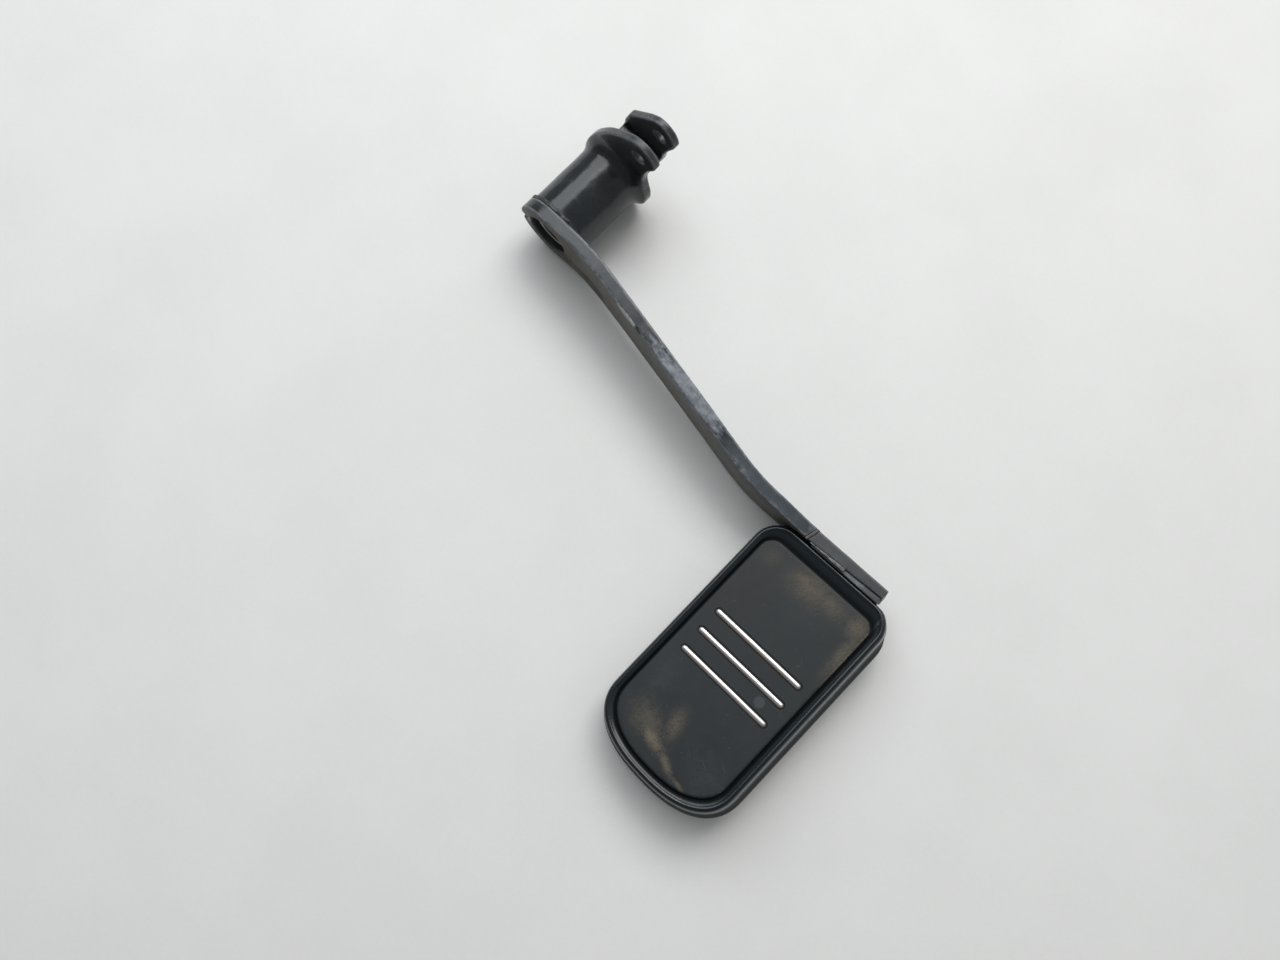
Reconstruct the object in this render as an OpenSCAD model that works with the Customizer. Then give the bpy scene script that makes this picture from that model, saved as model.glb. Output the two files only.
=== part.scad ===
// Rear brake pedal for a cruiser motorcycle: pivot hub with a push rod fork, flat arm, wide rubber pad.
// X runs forward from the pivot to the pad, Y runs inboard along the pivot axis, Z is up.
// The origin is on the pivot axis, at the middle of the bore.

/* [Pivot hub] */
// Length from the outboard face of the eye to the inboard face of the fork's first ear
hub_len = 46.6; // [44:0.2:50]
// Outside diameter of the pivot tube
tube_od = 30.8; // [30.4:0.1:31.2]
// Diameter of the bore that takes the bushings
hub_bore = 19.8; // [19:0.1:20.2]
// Radius of the flange at the inboard end
flange_r = 18.2; // [18:0.1:18.8]
// Radius of the fillet between tube and flange
flare_r = 6; // [4:0.5:6.5]
// Thickness of each fork ear
ear_t = 3.6; // [3:0.1:4]
// Gap between the fork ears
ear_gap = 8.9; // [8:0.1:10]
// Forward position of the push rod pin
pin_x = 14.2; // [12:0.1:16]
// Height of the push rod pin above the pivot axis
pin_z = 31; // [28:0.5:34]
// Diameter of the push rod pin holes
pin_d = 6.6; // [6:0.1:8.2]
// Radius of the rounded ear ends
ear_r = 9.2; // [8.5:0.1:10]

/* [Bushings] */
// Inside diameter of the bushings
bush_id = 17; // [15.5:0.1:17.6]
// Length of each bushing
bush_len = 12; // [8:0.5:15]
// How far the outboard bushing sits inside the eye
bush_recess = 3; // [1:0.5:4]

/* [Arm] */
// Thickness of the flat arm
arm_t = 6.2; // [5.8:0.1:6.6]
// Outside radius of the eye
eye_r = 16.3; // [16:0.1:17.5]
// Angle at which the arm leans outboard
arm_lean = 10; // [8:0.5:11]
// Radius of the bend beside the eye
bend1_r = 160; // [120:5:180]
// Forward position where the second bend begins
bend2_x = 129; // [125:1:131]
// Radius of the second bend
bend2_r = 100; // [90:5:110]
// Angle of the arm's last stretch, back inboard
arm_end_angle = 1.5; // [0.5:0.1:2]
// Height of the arm's top edge half way along
arm_top_mid = 13.6; // [12.5:0.1:15]
// Height of the arm's lower edge half way along
arm_low_mid = -13.4; // [-14:0.1:-12]

/* [Pad place] */
// Forward position of the pad's centre
pad_x = 190; // [189:0.5:191]
// Sideways position of the pad's centre from the eye's outboard face
pad_y = -77; // [-78:0.5:-77]
// Height of the pad's rim at its centre
pad_z = 6; // [5.9:0.1:6.4]
// Angle by which the pad's front edge is raised
pad_tilt = 11.5; // [11:0.1:11.6]

/* [Rubber pad] */
// Height of the pad from lower lip to rim
pad_h = 18.2; // [17.6:0.1:18.3]
// How far the side wall stands outside the rim crest
wall_out = 2.3; // [1.8:0.1:2.6]
// How far the lower lip stands outside the rim crest
lip_out = 4.1; // [3.6:0.1:4.4]
// Depth of the groove inside the rim
groove_d = 3.2; // [2:0.1:3.5]
// Step from the rim down to the centre panel
panel_drop = 0.5; // [0.3:0.1:1]
// Width by which the lip wraps under the backing plate
lip_wrap = 7; // [5:0.5:9]

/* [Metal strips] */
// Length of each metal strip
strip_l = 46.4; // [42:0.1:50]
// Width of each metal strip
strip_w = 2.6; // [2.4:0.1:3.6]
// Distance between neighbouring strips
strip_pitch = 10.3; // [9:0.1:11]
// How far the strips stand above the centre panel
strip_up = 1; // [0.5:0.1:1.3]

/* [Plate and end bar] */
// Thickness of the pressed backing plate
plate_t = 3; // [2.5:0.1:3.5]
// Depth of the plate's upper face below the rim
plate_down = 10.5; // [9.5:0.1:11]
// Height of the end bar's top above the rim
bar_up = 2; // [1.8:0.1:2.2]
// Length of the end bar
bar_l = 38.4; // [38:0.1:39]

/* [Hidden] */
steel = [0.09, 0.10, 0.115];
y_mid = hub_len / 2;                       // the frame's origin, seen from the eye's outboard face
big = 200;
ear2_y = hub_len + ear_gap;
joint_s = -16.6;                           // where arm and end bar meet, in the pad's frame
joint_y = 60.6;
joint_skew = 14.7;
seam_t = 1.4;

// outline of the rim crest: [rear, front, outboard, inboard], then the corner radii inboard front and
// inboard rear, and the depth of the bowed outboard end
rim_box = [-33, 30.8, -58.2, 55];
rim_rad = [9.5, 10.5, 20];
// how much further the lower lip stands out on each of those sides, and the same radii and depth for it
lip_more = [-0.1, 0.1, 0.1, -1.3];
lip_rad = [14.9, 13.5, 24.2];
// outline of the raised centre panel
pan_box = [-29.9, 27.5, -54.9, 49.3];
pan_rad = [5.6, 6.8, 18];

// how full the bowed outboard end of the pad's outlines is: 2 is an ellipse, more is squarer
end_full = 2.4;

// points of an outline with two rounded inboard corners and a bowed outboard end r[2] deep, grown outwards by g
function rr(b, r, g = 0, n = 12) = let (
    q = [[b[1] + g, b[3] + g, -1, -1, 0, r[0] + g], [b[0] - g, b[3] + g, 1, -1, 90, r[1] + g]],
    mid = (b[0] + b[1]) / 2, half = (b[1] - b[0]) / 2 + g, deep = r[2] + g, m = 3 * n,
    e = 2 / end_full)
    concat([for (k = q) for (i = [0:n]) [k[0] + k[2] * k[5] + k[5] * cos(k[4] + 90 * i / n),
                                         k[1] + k[3] * k[5] + k[5] * sin(k[4] + 90 * i / n)]],
        [for (i = [0:m]) let (a = 180 * i / m, c = -cos(a))
            [mid + half * sign(c) * pow(abs(c), e), b[2] + r[2] - deep * pow(max(sin(a), 0), e)]]);

// smooth curve through stations p, m points to each span
function cat(a, b, c, d, u) = 0.5 * ((2 * b) + (c - a) * u + (2 * a - 5 * b + 4 * c - d) * u * u
                                     + (3 * b - a - 3 * c + d) * u * u * u);
function curve(p, m = 6) = let (n = len(p)) concat([for (i = [0:n - 2]) for (j = [0:m - 1])
    cat(p[max(i - 1, 0)], p[i], p[i + 1], p[min(i + 2, n - 1)], j / m)], [p[n - 1]]);

// middle line of the arm seen from above: [x, y, heading]
bend1_x = 10;
b1_end = [bend1_x + bend1_r * sin(arm_lean), arm_t / 2 - bend1_r * (1 - cos(arm_lean))];
b2_y = b1_end[1] - tan(arm_lean) * (bend2_x - b1_end[0]);
b2_span = arm_lean + arm_end_angle;
arm_mid = concat([[-eye_r - 1, arm_t / 2, 0]],
    [for (i = [0:8]) let (a = arm_lean * i / 8)
        [bend1_x + bend1_r * sin(a), arm_t / 2 - bend1_r * (1 - cos(a)), -a]],
    [for (i = [0:8]) let (a = -arm_lean + b2_span * i / 8)
        [bend2_x + bend2_r * (sin(a) + sin(arm_lean)), b2_y + bend2_r * (cos(arm_lean) - cos(a)), a]]);
arm_last = arm_mid[len(arm_mid) - 1];
arm_line = concat(arm_mid, [[arm_last[0] + 35, arm_last[1] + 35 * tan(arm_end_angle), arm_end_angle]]);
arm_plan = concat([for (p = arm_line) [p[0] - arm_t / 2 * sin(p[2]), p[1] + arm_t / 2 * cos(p[2])]],
    [for (i = [len(arm_line) - 1:-1:0]) let (p = arm_line[i])
        [p[0] + arm_t / 2 * sin(p[2]), p[1] - arm_t / 2 * cos(p[2])]]);

// outlines of the fork's two ears, from the rear up and over the head to the neck in front
ear1_st = [[-flange_r + 1.4, 3.5], [-15.4, 9.8], [-11.2, 18.2], [-5.6, 26.2], [0.4, 32.4], [6.4, 37.2],
           [pin_x - 2.6, pin_z + ear_r - 0.3], [pin_x + 2.4, pin_z + ear_r - 0.2], [pin_x + 6.6, pin_z + 6.8],
           [pin_x + 9.1, pin_z + 3], [pin_x + 9, pin_z + 0.4], [pin_x + 7.3, pin_z - 2.6], [19.6, 25.6],
           [18.2, 21.8], [17.1, 17.6], [16.5, 13], [17.4, 8.4], [flange_r + 0.5, 2]];
ear2_st = [[2, 32.2], [6.9, 36.6], [pin_x - 2.6, pin_z + ear_r - 0.5], [pin_x + 2.2, pin_z + ear_r - 0.5],
           [pin_x + 6, pin_z + 6.4], [pin_x + 8.2, pin_z + 2.6], [pin_x + 8.1, pin_z], [pin_x + 6.7, pin_z - 3],
           [19.1, 24.6], [17.5, 20.2], [16.3, 16.2]];
// middle of the flange, a little off the pivot axis
flange_at = [0.8, -0.6];

// side outline of the arm
top_st = [[0, eye_r], [30, eye_r - 0.2], [90, arm_top_mid], [130, 11], [155, 7.6], [186, 3.2]];
low_st = [[0, -eye_r], [22, -13.2], [50, -12.4], [95, arm_low_mid], [140, -15.2], [186, -17.2]];
low_pts = curve(low_st);
arm_side = concat(curve(top_st), [for (i = [len(low_pts) - 1:-1:0]) low_pts[i]]);

// the pad's frame: s forward along the pad, y inboard, w out of its face
module pad_frame() {
    translate([pad_x, pad_y, pad_z]) rotate([0, -pad_tilt, 0]) children();
}

// the frame that starts at the eye's outboard face
module from_eye() {
    translate([0, -y_mid, 0]) children();
}

// everything in front of the joint between arm and end bar
module ahead(off) {
    pad_frame() translate([joint_s, joint_y, 0]) rotate([0, 0, -joint_skew])
        translate([off, -big / 2, -big / 2]) cube([big, big, big]);
}

// a profile drawn in X and Z, made into a slab between two places along Y
module slab(y0, t) {
    translate([0, y0 + t, 0]) rotate([90, 0, 0]) linear_extrude(height = t) children();
}

// a round shape about the pivot axis: radius against distance from the eye's outboard face
module turned() {
    rotate([-90, 0, 0]) rotate_extrude($fn = 128) children();
}

module bore(d, y0, y1) {
    translate([0, y0, 0]) rotate([-90, 0, 0]) cylinder(d = d, h = y1 - y0, $fn = 96);
}

// small chip in the rear edge of the eye
module chip() {
    translate([-15.4, -1, -2.6]) rotate([0, 24, 0]) translate([-3, 0, -1.3]) cube([4.6, 2.5, 2.6]);
}

module pedal_arm() {
    color(steel) from_eye() difference() {
        union() {
            slab(0, arm_t) circle(r = eye_r, $fn = 128);
            intersection() {
                slab(-big / 2, big) polygon(arm_side);
                translate([0, 0, -big / 2]) linear_extrude(height = big) polygon(arm_plan);
            }
        }
        translate([-big - eye_r, -big / 2, -big / 2]) cube([big, big, big]);
        ahead(-seam_t / 2);
        bore(hub_bore, -1, arm_t + 1);
        chip();
    }
}

module ear1_profile() {
    union() {
        translate(flange_at) circle(r = flange_r, $fn = 128);
        polygon(concat(curve(ear1_st, 5), [[0, 0]]));
    }
}

web_z0 = 11.6;
web_x = 15.8;
module ear2_profile() {
    polygon(concat([[web_x, web_z0], [-6.9, web_z0], [-6.9, 15], [-5.9, 20.5], [-3.4, 27.2]], curve(ear2_st, 5)));
}

module pivot_hub() {
    // distance from the eye's face where the fillet reaches the ear
    fy = hub_len - ear_t;
    cy = fy - flare_r;
    color(steel) from_eye() difference() {
        union() {
            turned() translate([hub_bore / 2, arm_t]) square([(tube_od - hub_bore) / 2, fy - arm_t + 0.5]);
            slab(fy, ear_t) ear1_profile();
            // concave flare from the tube to the first ear
            intersection() {
                turned() difference() {
                    translate([hub_bore / 2 + 1, cy]) square([tube_od / 2 + flare_r - hub_bore / 2 - 1, flare_r + 0.5]);
                    translate([tube_od / 2 + flare_r, cy]) circle(r = flare_r, $fn = 96);
                }
                slab(0, hub_len) ear1_profile();
            }
            slab(ear2_y, ear_t) ear2_profile();
            // web at the foot of the fork
            slab(hub_len - 0.5, ear_gap + 1) translate([-6.9, web_z0]) square([web_x + 6.9, ear_t]);
        }
        bore(hub_bore, 0, hub_len + 0.2);
        translate([pin_x, fy - 8, pin_z]) rotate([-90, 0, 0])
            cylinder(d = pin_d, h = 2 * ear_t + ear_gap + 16, $fn = 64);
    }
}

module bushing(y0) {
    color([0.32, 0.30, 0.27]) from_eye() difference() {
        bore(hub_bore, y0, y0 + bush_len);
        bore(bush_id, y0 - 1, y0 + bush_len + 1);
    }
}

module outboard_bushing() {
    bushing(bush_recess);
}

module inboard_bushing() {
    bushing(hub_len - 1 - bush_len);
}

// weld bead round the tube, against the arm's inboard face
module hub_weld() {
    color(steel) from_eye() intersection() {
        turned() translate([tube_od / 2, arm_t]) intersection() {
            circle(r = 1.9, $fn = 48);
            square([eye_r - 0.05 - tube_od / 2, 3]);
        }
        bore(3 * eye_r, arm_t, arm_t + 6);
    }
}

module end_bar() {
    color(steel) from_eye() difference() {
        pad_frame() intersection() {
            slab(0, big) polygon([[joint_s - 4, bar_up], [joint_s + bar_l, bar_up],
                                  [joint_s + bar_l, -15], [joint_s + 4, -18.6], [joint_s - 4, -18.6]]);
            translate([0, 0, -big / 2]) linear_extrude(height = big)
                polygon([[-24, 63.6], [30, 63.6], [30, 60], [22, 59.6], [-16, 57.6], [-24, 57.6]]);
        }
        difference() {
            pad_frame() translate([-big / 2, -big / 2, -big / 2]) cube([big, big * 2, big]);
            ahead(seam_t / 2);
        }
    }
}

// butt weld between arm and end bar
module seam_weld() {
    color(steel) from_eye() intersection() {
        difference() {
            ahead(-seam_t / 2);
            ahead(seam_t / 2);
        }
        pad_frame() translate([-30, 57.3, -18.4]) cube([30, 6.5, 18.4 + bar_up + 0.25]);
    }
}

module plate_outline(g) {
    polygon(rr(rim_box, rim_rad, g));
}

// outline of the skirt's lower lip, grown outwards by g
module lip_outline(g) {
    polygon(rr([rim_box[0] - lip_out - lip_more[0], rim_box[1] + lip_out + lip_more[1],
                rim_box[2] - lip_out - lip_more[2], rim_box[3] + lip_out + lip_more[3]], lip_rad, g));
}

module pad_plate() {
    w0 = -plate_down - plate_t;
    color(steel) from_eye() pad_frame() {
        translate([0, 0, w0]) linear_extrude(height = plate_t) union() {
            plate_outline(-1.2);
            polygon([[-14, 50], [21.4, 50], [21.4, 59.55], [-14, 57.7]]);
        }
        // flange turned up beside the end bar
        translate([0, 0, w0]) linear_extrude(height = -w0 + bar_up - 1)
            polygon([[-14, 56.7], [21.4, 56.7], [21.4, 59.55], [-14, 57.7]]);
    }
}

// short fillet weld on the joint of flange and end bar
module plate_weld() {
    color(steel) from_eye() pad_frame() intersection() {
        translate([-15, 57.2, bar_up - 1]) cube([18, 2.6, 1.25]);
        translate([0, 0, bar_up - 1]) linear_extrude(height = 2)
            polygon([[-15, 57], [3, 57], [3, 57.6 + 2 * 19 / 38], [-15, 57.6 + 2 / 38]]);
    }
}

module strip_shape(g, z0, z1) {
    l = strip_l + g * 2;
    w = strip_w + g * 2;
    translate([-1, 0, z0]) {
        translate([-(l - w) / 2, -w / 2, 0]) cube([l - w, w, z1 - z0]);
        for (k = [-1, 1]) translate([k * (l - w) / 2, 0, 0]) cylinder(d = w, h = z1 - z0, $fn = 48);
    }
}

module at_strips() {
    for (k = [-1, 0, 1]) translate([0, k * strip_pitch, 0]) children();
}

module rubber_pad() {
    w0 = -plate_down - plate_t;
    color([0.05, 0.05, 0.055]) from_eye() pad_frame() difference() {
        union() {
            translate([0, 0, -pad_h]) linear_extrude(height = pad_h - 11.5) lip_outline(0);
            translate([0, 0, -11.6]) linear_extrude(height = 10) plate_outline(wall_out);
            translate([0, 0, -1.7]) linear_extrude(height = 1.7) plate_outline(1.2);
        }
        // groove inside the rim, and the centre panel's step
        translate([0, 0, -groove_d]) linear_extrude(height = big) difference() {
            plate_outline(-1.2);
            polygon(rr(pan_box, pan_rad));
        }
        translate([0, 0, -panel_drop]) linear_extrude(height = big) plate_outline(-1.2);
        // room for the plate, and the open underside
        translate([0, 0, w0]) linear_extrude(height = plate_t) plate_outline(-1.2);
        translate([0, 0, -pad_h - 1]) linear_extrude(height = pad_h + 1.01 + w0) lip_outline(-lip_wrap - 4);
        // straight cut beside the arm and the end bar
        translate([-big / 2, 56.5, -big / 2]) cube([big, big, big]);
        translate([-14.3, 48, -pad_h - 1]) cube([36, 20, pad_h + 1 - plate_down]);
        at_strips() strip_shape(0, -panel_drop - 1.5, 5);
    }
}

module metal_strips() {
    color([0.82, 0.81, 0.79]) from_eye() pad_frame() at_strips()
        strip_shape(0, -panel_drop - 1.5, -panel_drop + strip_up);
}

pedal_arm();
pivot_hub();
outboard_bushing();
inboard_bushing();
hub_weld();
end_bar();
seam_weld();
pad_plate();
plate_weld();
rubber_pad();
metal_strips();
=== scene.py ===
import math

import bmesh
import bpy
import numpy as np
from mathutils import Matrix, Vector, noise


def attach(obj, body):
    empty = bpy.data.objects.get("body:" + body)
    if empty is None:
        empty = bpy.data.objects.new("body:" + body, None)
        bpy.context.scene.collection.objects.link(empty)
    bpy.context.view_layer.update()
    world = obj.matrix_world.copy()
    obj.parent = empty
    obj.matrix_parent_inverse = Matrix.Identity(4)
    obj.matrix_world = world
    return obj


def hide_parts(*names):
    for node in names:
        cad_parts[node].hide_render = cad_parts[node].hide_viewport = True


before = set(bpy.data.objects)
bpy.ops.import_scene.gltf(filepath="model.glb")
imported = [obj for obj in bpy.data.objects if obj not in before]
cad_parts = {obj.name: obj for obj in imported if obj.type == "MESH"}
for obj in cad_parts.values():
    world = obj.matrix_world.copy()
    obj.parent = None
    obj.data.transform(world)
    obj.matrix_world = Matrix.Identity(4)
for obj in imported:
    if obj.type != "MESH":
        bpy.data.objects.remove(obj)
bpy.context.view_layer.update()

MM = 0.001
Y_MID = 23.3                                   # from the eye's outboard face to the frame's origin
TILT = math.radians(11.5)
PAD_AT = (190.0, -77.0 - Y_MID, 6.0)           # middle of the pad's rim, in the row frame
FLOOR_Z = -0.01895


# ---------------------------------------------------------------- shapes

def pad_point(s, y, w):
    """From the pad's frame (s forward, y inboard, w out of its face, mm) to the row frame in metres."""
    c, n = math.cos(TILT), math.sin(TILT)
    return Vector((PAD_AT[0] + s * c - w * n, PAD_AT[1] + y, PAD_AT[2] + s * n + w * c)) * MM


def row_to_pad(co):
    """Row frame in metres (n x 3) to the pad's frame in mm."""
    d = co / MM - np.array(PAD_AT)
    c, n = math.cos(TILT), math.sin(TILT)
    return np.stack([d[:, 0] * c + d[:, 2] * n, d[:, 1], -d[:, 0] * n + d[:, 2] * c], 1)


def new_object(name, verts, faces):
    me = bpy.data.meshes.new(name)
    me.from_pydata([tuple(v) for v in verts], [], faces)
    me.validate()
    me.update()
    ob = bpy.data.objects.new(name, me)
    bpy.context.scene.collection.objects.link(ob)
    return ob


def baked(ob, name):
    """The object with its modifiers applied, as a new plain object."""
    dg = bpy.context.evaluated_depsgraph_get()
    me = bpy.data.meshes.new_from_object(ob.evaluated_get(dg))
    me.name = name
    old = ob.data
    bpy.data.objects.remove(ob)
    if old.users == 0:
        bpy.data.meshes.remove(old)
    out = bpy.data.objects.new(name, me)
    bpy.context.scene.collection.objects.link(out)
    return out


def coords(me):
    co = np.empty(len(me.vertices) * 3)
    me.vertices.foreach_get("co", co)
    return co.reshape(-1, 3)


def normals(me):
    no = np.empty(len(me.vertices) * 3)
    me.vertices.foreach_get("normal", no)
    return no.reshape(-1, 3)


def edge_pairs(me):
    e = np.empty(len(me.edges) * 2, dtype=np.int64)
    me.edges.foreach_get("vertices", e)
    return e.reshape(-1, 2)


def spread(values, e, n, times):
    """Average of a value over each vertex and its neighbours, several times."""
    cnt = np.bincount(e.ravel(), minlength=n) + 1.0
    for _ in range(times):
        acc = values + np.bincount(e[:, 0], values[e[:, 1]], n) + np.bincount(e[:, 1], values[e[:, 0]], n)
        values = acc / cnt
    return values


def set_float(me, name, values):
    a = me.attributes.get(name) or me.attributes.new(name, "FLOAT", "POINT")
    a.data.foreach_set("value", np.asarray(values, dtype=np.float32))


def set_vector(me, name, values):
    a = me.attributes.get(name) or me.attributes.new(name, "FLOAT_VECTOR", "POINT")
    a.data.foreach_set("vector", np.asarray(values, dtype=np.float32).ravel())


def mark_curvature(me, times=3):
    """Stores how convex each place is, in 1/mm, for worn edges, and how concave, for dirt."""
    n = len(me.vertices)
    co, no, e = coords(me) / MM, normals(me), edge_pairs(me)
    cnt = np.maximum(np.bincount(e.ravel(), minlength=n), 1)
    mean = np.stack([(np.bincount(e[:, 0], co[e[:, 1], k], n) + np.bincount(e[:, 1], co[e[:, 0], k], n)) / cnt
                     for k in range(3)], 1)
    ln2 = ((co[e[:, 0]] - co[e[:, 1]]) ** 2).sum(1)
    l2 = (np.bincount(e[:, 0], ln2, n) + np.bincount(e[:, 1], ln2, n)) / cnt
    k = 4.0 * ((co - mean) * no).sum(1) / np.maximum(l2, 1e-9)
    k = spread(k, e, n, times)
    set_float(me, "edge", np.clip(k, 0.0, 1.5))
    set_float(me, "hollow", np.clip(-k, 0.0, 1.5))


def smooth_shade(ob, angle=40.0):
    me = ob.data
    bm = bmesh.new()
    bm.from_mesh(me)
    for f in bm.faces:
        f.smooth = True
    limit = math.radians(angle)
    for e in bm.edges:
        e.smooth = len(e.link_faces) != 2 or e.calc_face_angle(0.0) < limit
    bm.to_mesh(me)
    bm.free()


def softened(node, name, voxel=0.45, rounds=4, factor=0.5, bumps=(), dents=()):
    """A forged or cut steel piece: the CAD solid with its edges eased and its faces a little uneven."""
    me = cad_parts[node].data.copy()
    me.transform(Matrix.Scale(1000.0, 4))
    ob = bpy.data.objects.new(name + "_in", me)
    bpy.context.scene.collection.objects.link(ob)
    w = ob.modifiers.new("weld", "WELD")
    w.merge_threshold = 0.001
    r = ob.modifiers.new("remesh", "REMESH")
    r.mode = "VOXEL"
    r.voxel_size = voxel
    r.adaptivity = 0.0
    s = ob.modifiers.new("ease", "SMOOTH")
    s.factor = factor
    s.iterations = rounds
    out = baked(ob, name)
    me = out.data
    me.attributes.get("sharp_face") and me.attributes.remove(me.attributes["sharp_face"])
    me.update()
    co, no = coords(me), normals(me)
    if bumps:
        d = np.zeros(len(co))
        for i in range(len(co)):
            p = Vector(co[i])
            for scale, amp in bumps:
                d[i] += amp * noise.noise(p / scale + Vector((scale * 3.1, 7.7, 1.3)))
        for centre, radii, depth in dents:
            r = np.sqrt((((co - np.array(centre)) / np.array(radii)) ** 2).sum(1))
            d -= depth * np.clip(1.6 * (1.0 - r), 0.0, 1.0)
        co = co + no * d[:, None]
    me.vertices.foreach_set("co", (co * MM).ravel())
    me.polygons.foreach_set("use_smooth", [True] * len(me.polygons))
    me.update()
    mark_curvature(me)
    # side: how much each place faces outboard (-Y); the paint uses it for painted floor bounce
    set_float(me, "side", spread(np.clip(-no[:, 1], 0.0, 1.0), edge_pairs(me), len(co), 3))
    return out


def bevelled(node, name, width=0.4, segments=3, angle=30.0):
    """A thin pressed piece: the CAD solid with small rounded edges."""
    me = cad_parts[node].data.copy()
    bm = bmesh.new()
    bm.from_mesh(me)
    bmesh.ops.remove_doubles(bm, verts=bm.verts, dist=2e-6)
    bmesh.ops.dissolve_limit(bm, angle_limit=math.radians(0.6), verts=bm.verts, edges=bm.edges)
    bm.to_mesh(me)
    bm.free()
    ob = bpy.data.objects.new(name + "_in", me)
    bpy.context.scene.collection.objects.link(ob)
    b = ob.modifiers.new("bevel", "BEVEL")
    b.width = width * MM
    b.segments = segments
    b.limit_method = "ANGLE"
    b.angle_limit = math.radians(angle)
    t = ob.modifiers.new("tri", "TRIANGULATE")
    t.min_vertices = 5
    out = baked(ob, name)
    smooth_shade(out, 35)
    set_float(out.data, "edge", np.zeros(len(out.data.vertices)))
    set_float(out.data, "hollow", np.zeros(len(out.data.vertices)))
    set_float(out.data, "side", np.clip(-normals(out.data)[:, 1], 0.0, 1.0))
    return out


def outline(box, rad, g, arc=14, inb=14, rear=26, bow=54, front=26):
    """Points of the pad's outline grown by g: two rounded inboard corners, and a bowed outboard end rad[2] deep."""
    parts = []
    for x, y, sx, a0, r in ((box[1] + g, box[3] + g, -1, 0, rad[0] + g), (box[0] - g, box[3] + g, 1, 90, rad[1] + g)):
        r = max(r, 0.05)
        parts.append([(x + sx * r + r * math.cos(math.radians(a0 + 90 * i / arc)),
                       y - r + r * math.sin(math.radians(a0 + 90 * i / arc))) for i in range(arc + 1)])
    mid, half, deep, e = (box[0] + box[1]) / 2, (box[1] - box[0]) / 2 + g, rad[2] + g, 2 / 2.4
    end = []
    for i in range(bow + 1):
        a = math.pi * i / bow
        c = -math.cos(a)
        end.append((mid + half * math.copysign(abs(c) ** e, c), box[2] + rad[2] - deep * max(math.sin(a), 0.0) ** e))
    parts.append(end)
    pts = []
    for k, count in enumerate((inb, rear, front)):
        pts += parts[k]
        a, b = parts[k][-1], parts[(k + 1) % 3][0]
        pts += [(a[0] + (b[0] - a[0]) * j / (count + 1), a[1] + (b[1] - a[1]) * j / (count + 1))
                for j in range(1, count + 1)]
    return pts


def bridge(rings, closed_start=False, closed_end=False):
    n = len(rings[0])
    verts = [v for r in rings for v in r]
    faces = []
    for i in range(len(rings) - 1):
        for j in range(n):
            k = (j + 1) % n
            faces.append((i * n + j, i * n + k, (i + 1) * n + k, (i + 1) * n + j))
    if closed_end:
        c = sum((Vector(v) for v in rings[-1]), Vector()) / n
        verts.append(c)
        o = (len(rings) - 1) * n
        faces += [(o + j, o + (j + 1) % n, len(verts) - 1) for j in range(n)]
    if closed_start:
        c = sum((Vector(v) for v in rings[0]), Vector()) / n
        verts.append(c)
        faces += [((j + 1) % n, j, len(verts) - 1) for j in range(n)]
    return verts, faces


RIM = ((-33.0, 30.8, -58.2, 55.6), (9.5, 10.5, 20.0))
PANEL = ((-29.9, 27.5, -54.9, 49.7), (5.6, 6.8, 18.0))
LIP = ((-37.0, 35.0, -62.4, 57.8), (14.9, 13.5, 24.2))
CUT_Y = 56.5


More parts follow.
